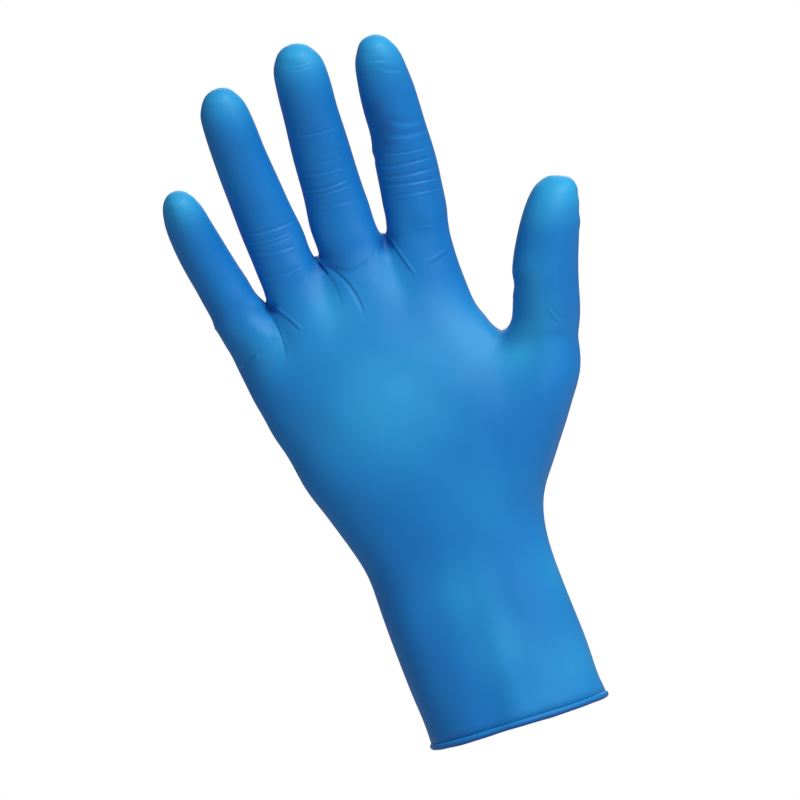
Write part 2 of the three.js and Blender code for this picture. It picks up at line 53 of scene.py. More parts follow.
section_columns = ["up", "left", "right", "left_y", "right_y",
                   "front_L", "front_C", "front_R", "back_L", "back_C", "back_R"]
trunk = np.array([
    [0.000, -0.376, 0.376, 0.00, 0.00, 0.290, 0.288, 0.290, 0.288, 0.288, 0.288],
    [0.040, -0.378, 0.368, 0.00, 0.00, 0.284, 0.280, 0.286, 0.280, 0.282, 0.280],
    [0.110, -0.397, 0.361, 0.00, 0.00, 0.276, 0.272, 0.282, 0.272, 0.276, 0.270],
    [0.190, -0.411, 0.342, 0.00, 0.00, 0.270, 0.262, 0.278, 0.262, 0.266, 0.258],
    [0.256, -0.418, 0.344, 0.00, 0.01, 0.266, 0.262, 0.286, 0.252, 0.256, 0.246],
    [0.296, -0.446, 0.372, 0.00, 0.03, 0.268, 0.270, 0.306, 0.244, 0.248, 0.236],
    [0.336, -0.484, 0.446, 0.00, 0.06, 0.270, 0.280, 0.338, 0.232, 0.238, 0.222],
    [0.376, -0.528, 0.532, 0.00, 0.09, 0.268, 0.284, 0.362, 0.218, 0.226, 0.200],
    [0.416, -0.566, 0.622, 0.00, 0.12, 0.260, 0.278, 0.370, 0.204, 0.216, 0.170],
    [0.450, -0.584, 0.678, 0.00, 0.14, 0.252, 0.268, 0.364, 0.196, 0.208, 0.140],
    [0.484, -0.614, 0.712, 0.00, 0.15, 0.244, 0.256, 0.350, 0.188, 0.200, 0.116],
    [0.510, -0.632, 0.722, 0.00, 0.15, 0.238, 0.246, 0.334, 0.184, 0.196, 0.104],
])
palm = np.array([
    [0.510, -0.632, 0.385, 0.00, 0.06, 0.238, 0.238, 0.250, 0.184, 0.196, 0.160],
    [0.540, -0.656, 0.378, 0.00, 0.03, 0.228, 0.226, 0.236, 0.178, 0.190, 0.166],
    [0.576, -0.672, 0.354, 0.00, 0.02, 0.214, 0.208, 0.214, 0.166, 0.180, 0.156],
    [0.608, -0.684, 0.337, 0.01, 0.02, 0.196, 0.194, 0.194, 0.146, 0.164, 0.136],
    [0.640, -0.706, 0.325, 0.02, 0.03, 0.178, 0.182, 0.178, 0.124, 0.142, 0.114],
    [0.700, -0.730, 0.330, 0.03, 0.04, 0.170, 0.174, 0.170, 0.090, 0.100, 0.090],
])
posts = [
    dict(x=-0.710, up=0.652, low=0.650, front=0.09, back=0.03),
    dict(x=-0.488, up=0.6700, low=0.644, front=0.108, back=0.046),
    dict(x=-0.228, up=0.7108, low=0.688, front=0.112, back=0.050),
    dict(x=0.062, up=0.7155, low=0.688, front=0.112, back=0.050),
    dict(x=0.327, up=0.684, low=0.684, front=0.10, back=0.03),
]
finger_columns = ["along", "across", "bend", "wide", "deep"]
fingers = {
    "little": dict(tip=0.8525, rows=np.array([
        [0.00, -0.598, 0.16, 0.99, 0.94], [0.12, -0.619, 0.17, 0.90, 0.90],
        [0.32, -0.648, 0.25, 0.82, 0.84], [0.52, -0.676, 0.41, 0.79, 0.80],
        [0.70, -0.696, 0.62, 0.76, 0.74], [0.83, -0.706, 0.79, 0.72, 0.68],
        [0.93, -0.714, 0.90, 0.58, 0.55], [0.975, -0.718, 0.96, 0.40, 0.40],
        [1.00, -0.720, 1.00, 0.20, 0.20]])),
    "ring": dict(tip=0.9748, rows=np.array([
        [0.00, -0.345, 0.18, 1.14, 1.00], [0.10, -0.361, 0.18, 1.045, 0.95],
        [0.28, -0.382, 0.25, 0.99, 0.90], [0.47, -0.396, 0.42, 0.93, 0.87],
        [0.66, -0.409, 0.66, 0.88, 0.80], [0.81, -0.415, 0.88, 0.842, 0.74],
        [0.91, -0.419, 1.00, 0.75, 0.63], [0.972, -0.422, 1.08, 0.50, 0.44],
        [1.00, -0.424, 1.12, 0.25, 0.22]])),
    "middle": dict(tip=1.0036, rows=np.array([
        [0.00, -0.078, 0.18, 1.12, 1.00], [0.10, -0.087, 0.18, 1.065, 0.97],
        [0.28, -0.085, 0.25, 1.01, 0.93], [0.47, -0.082, 0.43, 0.97, 0.90],
        [0.66, -0.077, 0.68, 0.928, 0.83], [0.81, -0.071, 0.91, 0.90, 0.77],
        [0.91, -0.070, 1.03, 0.80, 0.67], [0.972, -0.071, 1.11, 0.52, 0.46],
        [1.00, -0.072, 1.15, 0.25, 0.22]])),
    "index": dict(tip=0.9820, rows=np.array([
        [0.00, 0.194, 0.18, 1.08, 1.00], [0.12, 0.215, 0.19, 1.044, 0.97],
        [0.30, 0.233, 0.27, 1.02, 0.93], [0.48, 0.243, 0.43, 0.975, 0.89],
        [0.66, 0.249, 0.64, 0.935, 0.82], [0.80, 0.251, 0.83, 0.86, 0.75],
        [0.90, 0.253, 0.96, 0.75, 0.64], [0.972, 0.254, 1.04, 0.46, 0.42],
        [1.00, 0.256, 1.08, 0.22, 0.20]])),
    "thumb": dict(tip=0.7125, rows=np.array([
        [0.00, 0.566, 0.62, 1.26, 1.30], [0.12, 0.604, 0.66, 1.17, 1.18],
        [0.31, 0.637, 0.74, 1.15, 1.12], [0.50, 0.676, 0.82, 1.09, 1.10],
        [0.68, 0.722, 0.90, 1.01, 1.04], [0.80, 0.753, 0.97, 0.94, 0.94],
        [0.89, 0.789, 1.01, 0.85, 0.78], [0.955, 0.824, 1.04, 0.72, 0.58],
        [1.00, 0.850, 1.07, 0.48, 0.30]])),
}
thumb_base = 0.516
thumb_crotch = dict(x=0.384, forward=0.08, up=0.5350, corner=0.365, low=0.506,
                    front=0.205, back=0.06, reach=8, thumb_reach=3, fall_from=0.6)

finger_spans = 4
palm_front = finger_spans * 4 + 1
thumb_front = 5
trunk_front = palm_front + thumb_front
trunk_rows = 18
palm_rows = 5
finger_rows = 17
thumb_rows = 11


def mix(a, b, t):
    return a + (b - a) * t


def ease(t):
    t = np.clip(t, 0.0, 1.0)
    return t * t * (3.0 - 2.0 * t)


def read_table(rows, columns, name, value):
    """A smooth line through one column of a table, read at a value of its first column."""
    column = columns.index(name)
    i = 0
    while i < len(rows) - 2 and value > rows[i + 1][0]:
        i += 1
    before, a, b, after = rows[max(i - 1, 0)], rows[i], rows[i + 1], rows[min(i + 2, len(rows) - 1)]
    span = b[0] - a[0]
    t = (value - a[0]) / span
    slope_a = (b[column] - before[column]) / (b[0] - before[0]) * span
    slope_b = (after[column] - a[column]) / (after[0] - a[0]) * span
    return (a[column] * (2 * t ** 3 - 3 * t ** 2 + 1) + slope_a * (t ** 3 - 2 * t ** 2 + t)
            + b[column] * (3 * t ** 2 - 2 * t ** 3) + slope_b * (t ** 3 - t ** 2))


# How far the middle depth of a section reaches towards its edges, and how full the section is
middle_reach = 0.36
section_round = 0.82


def on_section(table, z, share, side):
    """A point of the trunk or palm at one height, a share of the way across, front or back."""
    def read(name):
        return read_table(table, section_columns, name, z / glove_length) * palm_breadth
    edge_y = -mix(read("left_y"), read("right_y"), ease(share))
    middle = ease(1 - abs(share - 0.5) / middle_reach)
    deep = mix(read(side + ("_L" if share < 0.5 else "_R")), read(side + "_C"), middle)
    swell = (2 * math.sqrt(share * (1 - share))) ** section_round
    face_y = -deep if side == "front" else deep
    return np.array([mix(read("left"), read("right"), share), mix(edge_y, face_y, swell), z])


def columns_round(front):
    """Round a loop: the column from the left edge, and the side of the hand."""
    in_front = [(i, "front") for i in range(front + 2)]
    behind = [(i, "back") for i in range(front, 0, -1)]
    return in_front + behind


# How far to each side along a finger its direction is read
axis_step = 0.03


def finger_axis(finger, along):
    rows = finger["rows"]
    return np.array([read_table(rows, finger_columns, "across", along) * palm_breadth,
                     -read_table(rows, finger_columns, "bend", along) * finger_breadth,
                     mix(finger["base"], finger["tip"], along) * glove_length])


def finger_ring(finger, along, front):
    direction = finger_axis(finger, along + axis_step) - finger_axis(finger, along - axis_step)
    direction /= np.linalg.norm(direction)
    across = np.array([direction[2], 0.0, -direction[0]])
    across /= np.linalg.norm(across)
    behind = np.cross(direction, across)
    wide = read_table(finger["rows"], finger_columns, "wide", along) * finger_breadth / 2
    deep = read_table(finger["rows"], finger_columns, "deep", along) * finger_breadth / 2
    angles = math.pi + 2 * math.pi * np.arange(2 * front + 2) / (2 * front + 2)
    axis = finger_axis(finger, along)
    return [axis + across * wide * math.cos(a) + behind * deep * math.sin(a) for a in angles]


trunk_places = columns_round(trunk_front)
palm_places = columns_round(palm_front)
finger_names = ["little", "ring", "middle", "index"]
for k, name in enumerate(finger_names):
    fingers[name]["base"] = (posts[k]["up"] + posts[k + 1]["up"]) / 2
fingers["thumb"]["base"] = thumb_base


# The ends of the web line beside the little and index finger, and how it swells up a finger
web_edge = dict(left=-0.026, right=0.008, forward=0.035)
web_swell = 0.08
middle_front = (finger_spans + 2) // 2


def web_point(column, side):
    """A point of the web line, the loop at the top of the palm that the fingers grow from."""
    if column in (0, palm_front + 1):
        edge = posts[0] if column == 0 else posts[4]
        across = edge["x"] + web_edge["left" if column == 0 else "right"]
        forward = -web_edge["forward"] * palm_breadth
        return np.array([across * palm_breadth, forward, edge["up"] * glove_length])
    k = min((column - 1) // finger_spans, 3)
    within = (column - 1) / finger_spans - k
    a, b = posts[k], posts[k + 1]
    ring = finger_ring(fingers[finger_names[k]], 0, finger_spans + 1)
    swell = math.sin(math.pi * within)
    sign = -1 if side == "front" else 1
    ring_y = ring[middle_front if side == "front" else -middle_front][1]
    corner_y = sign * mix(a[side], b[side], within) * palm_breadth
    z = mix(a["low"], b["low"], within) * glove_length + web_swell * finger_breadth * swell
    return np.array([mix(a["x"], b["x"], within) * palm_breadth, mix(corner_y, ring_y, swell), z])


web_row = [web_point(column, side) for column, side in palm_places]

# The split row, where the thumb leaves the palm
split_z = thumb_base * glove_length
thumb_ring = finger_ring(fingers["thumb"], 0, thumb_front + 1)
split_left = read_table(trunk, section_columns, "left", thumb_base) * palm_breadth
split_right = thumb_ring[thumb_front + 2][0]


def share_across(x):
    return (x - split_left) / (split_right - split_left)


def even_share(i, count):
    return (1 - math.cos(math.pi * i / (count + 1))) / 2


def split_point(column, side):
    thumbward = column - palm_front
    ring_point = thumb_ring[min(max(thumbward + 1, 0), thumb_front + 2)]
    if thumbward > 0:
        share = share_across(ring_point[0])
    else:
        share = (share_across(thumb_crotch["corner"] * palm_breadth)
                 * even_share(column, trunk_front) / even_share(palm_front, trunk_front))
    fall = (min(column / palm_front, 1) - thumb_crotch["fall_from"]) / (1 - thumb_crotch["fall_from"])
    fallen = mix(split_z, thumb_crotch["low"] * glove_length, ease(fall))
    z = min(ring_point[2], fallen) if thumbward > 0 else fallen
    point = on_section(trunk, z, min(max(share, 0.0), 1.0), side)
    near = max(0.0, 1 - abs(thumbward) / thumb_crotch["thumb_reach" if thumbward > 0 else "reach"])
    depth = -thumb_crotch["front"] if side == "front" else thumb_crotch["back"]
    point[1] = mix(point[1], depth * palm_breadth, near * near)
    return point


split_row = [split_point(column, side) for column, side in trunk_places]


def row_between(table, low, high, loop_places, rise, shares_low, shares_high):
    """A row between two finished rows, near to each of which it takes on that row's own shape."""
    def offset(point, share, side):
        return point[1] - on_section(table, point[2], min(max(share, 0.0), 1.0), side)[1]
    points = []
    for i, (_, side) in enumerate(loop_places):
        share = min(max(mix(shares_low[i], shares_high[i], ease(rise)), 0.0), 1.0)
        point = on_section(table, mix(low[i][2], high[i][2], rise), share, side)
        point[1] += offset(low[i], shares_low[i], side) * (1 - rise) ** 2
        point[1] += offset(high[i], shares_high[i], side) * rise ** 3
        points.append(point)
    return points


def shares_of(points, right):
    return [(p[0] - points[0][0]) / (points[right][0] - points[0][0]) for p in points]


cage = []
quads = []


def put(points):
    first = len(cage)
    cage.extend(points)
    return list(range(first, len(cage)))


def band(lower, upper):
    count = len(lower)
    for i in range(count):
        j = (i + 1) % count
        quads.append((lower[i], lower[j], upper[j], upper[i]))


# The sleeve and the heel of the hand, up to the split row
trunk_even = [even_share(column, trunk_front) for column, _ in trunk_places]
foot = [on_section(trunk, film_foot, trunk_even[i], side) for i, (_, side) in enumerate(trunk_places)]
split_shares = shares_of(split_row, trunk_front + 1)
foot_row = put(foot)
row = foot_row
for r in range(1, trunk_rows):
    upper = put(row_between(trunk, foot, split_row, trunk_places, r / trunk_rows, trunk_even, split_shares))
    band(row, upper)
    row = upper
split_loop = put(split_row)
band(row, split_loop)

# The palm, from the split row and the thumb's crotch to the web line
crotch = put([np.array([thumb_crotch["x"] * palm_breadth, -thumb_crotch["forward"] * palm_breadth,
                        thumb_crotch["up"] * glove_length])])[0]
palm_loop = split_loop[:palm_front + 1] + [crotch] + split_loop[-palm_front:]
palm_foot = [cage[p] for p in palm_loop]
palm_shares = shares_of(palm_foot, palm_front + 1)
web_shares = shares_of(web_row, palm_front + 1)
for r in range(1, palm_rows + 1):
    if r == palm_rows:
        points = web_row
    else:
        points = row_between(palm, palm_foot, web_row, palm_places, r / palm_rows, palm_shares, web_shares)
    upper = put(points)
    band(palm_loop, upper)
    palm_loop = upper

# The crotches between the fingers, and the fingers and thumb, closed over their tips
crotches = put([np.array([post["x"] * palm_breadth, -(post["front"] - post["back"]) / 2 * palm_breadth,
                          post["up"] * glove_length]) for post in posts[1:4]])
post_points = [palm_loop[0]] + crotches + [palm_loop[palm_front + 1]]


def first_loop(k):
    columns = [k * finger_spans + 1 + i for i in range(finger_spans + 1)]
    return ([post_points[k]] + [palm_loop[c] for c in columns] + [post_points[k + 1]]
            + [palm_loop[len(palm_loop) - c] for c in reversed(columns)])


# Where the last ring of a finger lies, how far the rings crowd at its two ends, how the first
# ring's shape fades out along it, and how full the tip is
last_ring = 0.972
row_crowding = 0.6
fade_early = 0.65
fade_late = 1.4
tip_round = 0.6
finger_stretch = 0.26
thumb_stretch = 0.5


def grow_finger(finger, start, rows, front, stretch):
    """Rings of points from the loop a finger starts at, closed by a seam over its tip."""
    first = [cage[p].copy() for p in start]
    ideal = finger_ring(finger, 0, front)
    lower = start
    for r in range(1, rows + 1):
        t = r / rows
        along = last_ring * mix(t, (1 - math.cos(math.pi * t)) / 2, row_crowding)
        fade = max(0.0, 1 - (along / stretch) ** fade_early) ** fade_late
        ring = finger_ring(finger, along, front)
        upper = put([point + (first[i] - ideal[i]) * fade for i, point in enumerate(ring)])
        band(lower, upper)
        lower = upper
    left, right = cage[lower[0]], cage[lower[front + 1]]
    tip = finger_axis(finger, 1) - (left + right) / 2
    steps = [(i + 1) / (front - 1) for i in range(front - 2)]
    middles = put([mix(left, right, t) + tip * math.sin(math.pi * t) ** tip_round for t in steps])
    middle_row = [lower[0]] + middles + [lower[front + 1]]
    front_row = lower[1:front + 1]
    back_row = lower[front + 2:][::-1]
    for i in range(front - 1):
        quads.append((front_row[i], front_row[i + 1], middle_row[i + 1], middle_row[i]))
        quads.append((middle_row[i], middle_row[i + 1], back_row[i + 1], back_row[i]))


for k, name in enumerate(finger_names):
    grow_finger(fingers[name], first_loop(k), finger_rows, finger_spans + 1, finger_stretch)
thumb_loop = [crotch] + split_loop[palm_front:len(split_loop) - palm_front + 1]
grow_finger(fingers["thumb"], thumb_loop, thumb_rows, thumb_front + 1, thumb_stretch)

neighbours = [set() for _ in cage]
for quad in quads:
    for i, p in enumerate(quad):
        neighbours[p].add(quad[(i + 1) % 4])
        neighbours[quad[(i + 1) % 4]].add(p)


# How strongly the middle of a settled place is drawn
settle_pull = 1.25


def settle(centres, reach, rounds):
    """Draws the film smooth round the crotches."""
    def pull_at(point):
        return max(ease(settle_pull - np.linalg.norm(point - cage[c]) / reach) for c in centres)
    pulls = [pull_at(point) for point in cage]
    for _ in range(rounds):
        before = [point.copy() for point in cage]
        for p, point in enumerate(before):
            if pulls[p] == 0 or p in foot_row:
                continue
            middle = sum(before[q] for q in neighbours[p]) / len(neighbours[p])
            if p in centres:
                middle[2] = point[2]
            cage[p] = mix(point, middle, pulls[p] / 2)


# The places, how far round them the film is drawn smooth in finger breadths, and how many times
settled_places = [
    ([crotch], 1.1, 8),
    (crotches, 0.45, 3),
    ([post_points[0], post_points[4]], 0.5, 3),
    ([palm_loop[k * finger_spans + 3] for k in range(4)], 0.35, 4),
    ([palm_loop[k * finger_spans + 1] for k in range(1, 4)], 0.3, 3),
    (split_loop[palm_front + 2:palm_front + 5], 0.5, 4),
]
for centres, reach, rounds in settled_places:
    settle(centres, reach * finger_breadth, rounds)


def smooth_skin(points, levels):
    """The smooth surface over a set of control points, as vertex and face arrays."""
    mesh = bpy.data.meshes.new("film_form")
    mesh.from_pydata([tuple(p) for p in points], [], quads)
    form = bpy.data.objects.new("film_form", mesh)
    bpy.context.scene.collection.objects.link(form)
    smoothing = form.modifiers.new("smooth", "SUBSURF")
    smoothing.levels = levels
    smoothing.quality = 5
    smoothing.use_limit_surface = True
    result = form.evaluated_get(bpy.context.evaluated_depsgraph_get()).to_mesh()
    vertices = np.empty(len(result.vertices) * 3)
    result.vertices.foreach_get("co", vertices)
    corners = np.empty(len(result.loops), dtype=int)
    result.loops.foreach_get("vertex_index", corners)
    bpy.data.objects.remove(form)
    bpy.data.meshes.remove(mesh)
    return vertices.reshape(-1, 3), corners.reshape(-1, 4)


def even_out(low, high, fade, rounds):
    """Evens out how deep the film lies, in front and behind, between two heights of the hand."""
    hand = cage[:crotches[0]]
    pulls = [ease((p[2] - low) / fade) * ease((high - p[2]) / fade) / 2 for p in hand]
    for _ in range(rounds):
        before = [p[1] for p in cage]
        for p, pull in enumerate(pulls):
            if pull > 0:
                around = sum(before[q] for q in neighbours[p]) / len(neighbours[p])
                cage[p][1] = mix(before[p], around, pull)


even_out(low=0.070, high=0.160, fade=0.020, rounds=6)

# The control points are moved until the smooth surface runs through the cage
fitting_rounds = 5
target = np.array(cage)
control = target.copy()
for _ in range(fitting_rounds):
    surface, _ = smooth_skin(control, 1)
    control += target - surface[:len(target)]

# Creases in millimetres, as seen from the front: three points of a line that runs to the right,
# how deep or high it is and its half width. These are the fine wrinkles of the fingers.
per_metre = 1000
depth_column = 6
width_column = 7
wrinkles = [
    # the index finger
    (12.7, 205.3, 21.0, 203.3, 30.6, 203.2, 0.16, 0.42),
    (10.9, 200.9, 20.3, 199.4, 30.4, 199.5, 0.22, 0.45),
    (10.6, 197.5, 19.7, 195.6, 30.0, 195.6, 0.24, 0.45),
    (10.1, 194.5, 19.3, 192.6, 29.9, 191.7, 0.26, 0.45),
    (12.3, 189.9, 19.8, 188.8, 29.3, 188.0, 0.15, 0.42),
    (18.2, 216.1, 24.5, 212.9, 30.0, 212.4, 0.30, 0.95),
    (16.5, 210.7, 23.8, 208.8, 30.6, 208.8, 0.27, 0.85),
    (21.1, 234.3, 24.2, 231.9, 27.7, 231.2, 0.22, 0.55),
    (18.4, 236.6, 21.2, 236.5, 23.9, 235.4, 0.18, 0.60),
    (19.4, 177.2, 22.3, 176.6, 25.3, 176.0, 0.08, 0.38),
    # the middle finger
    (-12.0, 219.3, -5.9, 218.6, 0.7, 218.9, 0.15, 0.38),
    (-8.2, 211.1, -4.2, 210.8, -0.3, 211.0, 0.08, 0.38),
    (-8.3, 208.8, -4.0, 208.4, 0.0, 208.6, 0.08, 0.38),
    (-14.3, 205.9, -7.6, 204.9, 0.3, 205.0, 0.13, 0.45),
    (-15.8, 200.8, -9.2, 199.7, -1.1, 200.5, 0.24, 0.42),
    (-15.7, 199.0, -8.4, 197.9, -1.5, 198.2, 0.13, 0.38),
    (-13.0, 193.8, -8.1, 193.1, -2.2, 192.9, 0.10, 0.45),
    (-10.0, 244.8, -6.5, 242.8, -2.1, 243.2, 0.14, 0.38),
    (-9.3, 243.0, -6.3, 241.4, -2.6, 241.4, 0.14, 0.38),
    # the ring finger
    (-41.2, 192.6, -33.3, 191.4, -23.3, 192.2, 0.22, 0.42),
    (-40.6, 189.4, -33.1, 188.2, -26.1, 188.7, 0.13, 0.38),
    (-40.6, 187.5, -33.5, 186.7, -26.0, 187.2, 0.14, 0.38),
    (-40.9, 185.5, -33.8, 183.9, -25.8, 183.5, 0.24, 0.42),
    (-39.9, 176.5, -33.9, 175.4, -26.6, 176.1, 0.20, 0.42),
    (-35.3, 171.0, -32.2, 170.8, -28.7, 170.8, 0.08, 0.42),
]
# Grooves, pressed in between the fingers' bases and at the little finger's pad
grooves = [
    (-19.2, 176.3, -18.6, 173.5, -17.6, 170.6, 0.95, 0.42),
    (-17.7, 174.3, -12.0, 166.1, -9.5, 154.2, 0.42, 0.60),
    (-17.6, 170.6, -16.2, 165.0, -16.0, 158.3, 0.14, 0.60),
    (-16.3, 173.8, -10.2, 169.6, -2.1, 171.5, 0.34, 1.20),
    (-57.5, 147.6, -54.0, 149.6, -50.5, 151.4, 0.50, 0.60),
    (-50.5, 151.4, -46.0, 153.0, -42.6, 156.2, 0.26, 1.10),
    (-40.3, 161.9, -39.6, 155.4, -40.1, 146.9, 0.24, 0.52),
]
# Ridges, where the film is drawn tight from one finger to the next
ridges = [
    (6.6, 177.6, 9.1, 169.3, 11.7, 161.2, 0.30, 0.45),
    (-40.4, 167.0, -36.0, 161.5, -31.9, 154.5, 0.28, 0.48),
    (1.7, 174.4, 1.2, 171.7, 2.3, 168.1, 0.10, 0.50),
    (16.9, 164.4, 20.8, 165.2, 26.2, 166.9, 0.20, 0.50),
    (55.0, 130.4, 53.2, 133.6, 52.4, 136.8, 0.20, 0.45),
    (62.9, 138.8, 62.8, 142.0, 63.2, 145.3, 0.10, 0.50),
]
# Wrinkles on the back, over the finger joints, the thumb and the wrist
back_wrinkles = [
    (14.0, 206.4, 20.5, 207.2, 27.0, 206.4, 0.20, 0.70),
    (13.5, 203.2, 20.3, 204.0, 27.2, 203.2, 0.24, 0.75),
    (13.8, 200.2, 20.0, 201.0, 26.8, 200.2, 0.18, 0.70),
    (16.8, 226.8, 21.5, 227.3, 26.2, 226.8, 0.14, 0.60),
    (-13.8, 210.4, -7.0, 211.2, -0.2, 210.4, 0.22, 0.75),
    (-14.0, 207.0, -7.0, 207.9, 0.0, 207.0, 0.24, 0.75),
    (-13.6, 203.8, -7.2, 204.6, -0.6, 203.8, 0.18, 0.70),
    (-10.8, 231.6, -6.3, 232.1, -1.8, 231.6, 0.14, 0.60),
    (-40.6, 205.2, -34.2, 206.0, -27.6, 205.2, 0.22, 0.75),
    (-40.8, 202.0, -34.0, 202.9, -27.2, 202.0, 0.24, 0.75),
    (-40.2, 225.0, -35.6, 225.5, -31.0, 225.0, 0.14, 0.60),
    (-61.6, 185.8, -56.4, 186.6, -51.0, 185.8, 0.20, 0.70),
    (-61.4, 183.0, -56.0, 183.8, -50.4, 183.0, 0.18, 0.70),
    (47.0, 146.6, 55.0, 147.8, 63.0, 145.6, 0.20, 0.80),
    (47.6, 150.4, 56.0, 151.6, 64.0, 149.4, 0.22, 0.80),
    (-38.0, 74.0, -4.0, 76.5, 28.0, 73.0, 0.30, 1.60),
    (-36.5, 68.5, -2.0, 70.5, 27.0, 67.5, 0.26, 1.40),
    (-28.0, 84.0, 2.0, 87.0, 34.0, 86.0, 0.20, 1.60),
]
# Bumps and hollows in millimetres: the place, the radii across and up, the height, and the
# way the film has to face there.
bumps = [
    # the pads of the palm, and the pocket between middle and index finger
    (-40.3, 165.0, 1.7, 2.0, -1.5, "front"),
    (5.0, 174.6, 1.2, 2.6, -0.5, "front"),
    (5.0, 173.8, 2.8, 2.4, -0.5, "front"),
    (32.4, 130.2, 6.0, 3.6, -0.7, "front"),
    # the film pushed up in the crotches
    (-41.3, 166.8, 2.0, 3.0, 0.9, "up"),
    (-43.0, 168.5, 3.0, 3.5, 0.9, "right"),
    (-19.5, 176.6, 2.0, 3.0, 1.2, "up"),
    (5.3, 177.6, 2.5, 2.5, 0.5, "up"),
    (31.5, 133.5, 6.5, 5.0, 1.2, "up"),
    (30.0, 140.0, 4.5, 4.5, 1.2, "right"),
    # knobs and notches down the edges of the index finger and thumb
    (12.0, 213.0, 3.0, 5.0, -0.40, "left"),
    (11.0, 207.6, 1.8, 1.2, 0.30, "left"),
    (11.0, 204.4, 1.8, 1.1, -0.30, "left"),
    (30.0, 192.0, 6.0, 20.0, 0.30, "right"),
    (45.3, 152.6, 3.0, 2.2, 0.25, "left"),
    (44.0, 147.8, 3.0, 1.7, -0.30, "left"),
    (42.3, 144.3, 3.0, 2.0, 0.35, "left"),
    (40.8, 138.6, 3.0, 2.0, 0.20, "left"),
    (48.0, 158.0, 4.0, 9.0, 0.35, "left"),
    (51.0, 165.5, 4.0, 5.0, 0.40, "left"),
    (41.2, 141.3, 2.5, 2.0, 0.35, "left"),
    (73.0, 166.4, 3.0, 2.0, -0.20, "right"),
    (72.2, 161.8, 3.0, 2.2, 0.40, "right"),
    (74.0, 172.5, 3.0, 3.0, -0.30, "right"),
    (72.0, 146.0, 9.0, 24.0, -0.60, "right"),
    (76.0, 171.0, 3.0, 3.6, -1.10, "right"),
    (66.5, 180.5, 4.5, 5.0, -1.15, "up"),
    (64.0, 130.0, 8.0, 14.0, -0.60, "right"),
    (60.0, 113.0, 8.0, 12.0, -0.60, "right"),
    (51.5, 102.5, 7.0, 8.0, -0.80, "right"),
    (74.0, 178.0, 3.0, 3.0, 0.50, "up"),
    # the sides and tips of the other fingers
    (-4.0, 250.5, 7.0, 5.0, -0.35, "up"),
    (-66.5, 206.5, 6.0, 10.0, -0.80, "left"),
    (-41.0, 240.5, 6.0, 6.0, -0.35, "up"),
    (-49.5, 190.0, 4.0, 14.0, 0.50, "right"),
    (-43.0, 184.0, 3.5, 14.0, -0.40, "left"),
    # the edges of the palm and of the sleeve, down to its corner over the bead
    (-32.0, 30.0, 20.0, 45.0, 0.30, "left"),
    (-47.0, 115.0, 20.0, 25.0, 0.25, "left"),
    (-56.0, 138.0, 8.0, 8.0, -0.40, "left"),
    (-58.0, 150.0, 10.0, 8.0, 0.20, "left"),
    (-60.0, 158.5, 5.0, 4.0, 0.40, "left"),
    (-60.5, 163.5, 5.0, 3.0, 0.25, "left"),
    (31.0, 36.0, 20.0, 40.0, 0.35, "right"),
    (32.0, 1.5, 6.0, 4.0, 0.60, "right"),
    # the knuckles, and the hollows between them
    (21.0, 152.0, 7.0, 8.0, 1.30, "back"),
    (-4.5, 157.0, 7.0, 8.0, 1.50, "back"),
    (-28.5, 153.0, 6.5, 7.5, 1.30, "back"),
    (-49.5, 143.5, 6.0, 7.0, 1.10, "back"),
    (8.5, 160.0, 4.0, 8.0, -0.70, "back"),
    (-16.5, 161.0, 4.0, 8.0, -0.70, "back"),
    (-39.5, 154.0, 4.0, 8.0, -0.60, "back"),
    (20.5, 204.0, 6.0, 6.5, 0.50, "back"),
    (-7.0, 208.0, 6.0, 6.5, 0.50, "back"),
    (-34.2, 203.5, 6.0, 6.5, 0.50, "back"),
    (-56.0, 184.5, 5.0, 5.5, 0.40, "back"),
]
facings = {
    "left": (-1, 0, 0),
    "right": (1, 0, 0),
    "front": (0, -1, 0),
    "back": (0, 1, 0),
    "up": (0, 0, 1),
}


def across_line(points, crease):
    """The share of the way along a bowed line at which each point lies, and how far off it."""
    start, middle, end = np.array(crease[:depth_column]).reshape(3, 2) / per_metre
    run = end - start
    length = np.linalg.norm(run)
    there = points - start
    along = there @ run / length ** 2
    off = (run[0] * there[:, 1] - run[1] * there[:, 0]) / length
    sag = (run[0] * (middle - start)[1] - run[1] * (middle - start)[0]) / length
    return along, off - 4 * along * (1 - along) * sag


def hill(off, broad):
    return np.exp(-(off / broad) ** 2)


# The shape across each kind of crease, in shares of its half width and its depth
wrinkle_form = dict(above=1.5, below=0.95, lip=0.25, lip_at=1.8)
groove_form = dict(above=0.6, below=1.7, lip=0.12, lip_at=1.3)
ridge_form = dict(dip=0.5, dip_at=2.2, dip_wide=1.6)


def pressed(off, broad, form):
    return np.where(off > 0, hill(off, form["above"] * broad), hill(off, form["below"] * broad))


def wrinkle(off, broad):
    """Gentle above the line, short below it, with a low lip at its foot."""
    lip = wrinkle_form["lip"] * hill(off + wrinkle_form["lip_at"] * broad, broad)
    return lip - pressed(off, broad, wrinkle_form)


def groove(off, broad):
    """Short above the line and gentle below it, so that its upper wall lies in shade."""
    lip = groove_form["lip"] * hill(off - groove_form["lip_at"] * broad, broad)
    return lip - pressed(off, broad, groove_form)


def ridge(off, broad):
    """A drawn line of film that stands up, with a shallow dip below it."""
    dip = hill(off + ridge_form["dip_at"] * broad, ridge_form["dip_wide"] * broad)
    return hill(off, broad) - ridge_form["dip"] * dip


# Each kind of crease: its table, its shape, the side it faces and how fast its ends run out
crease_kinds = [
    (wrinkles, wrinkle, -1, 0.16),
    (grooves, groove, -1, 0.24),
    (ridges, ridge, -1, 0.24),
    (back_wrinkles, wrinkle, 1, 0.24),
]
# How far round from its side a crease or bump still shows
crease_facing = dict(start=-0.1, span=0.5)
bump_facing_span = 0.6
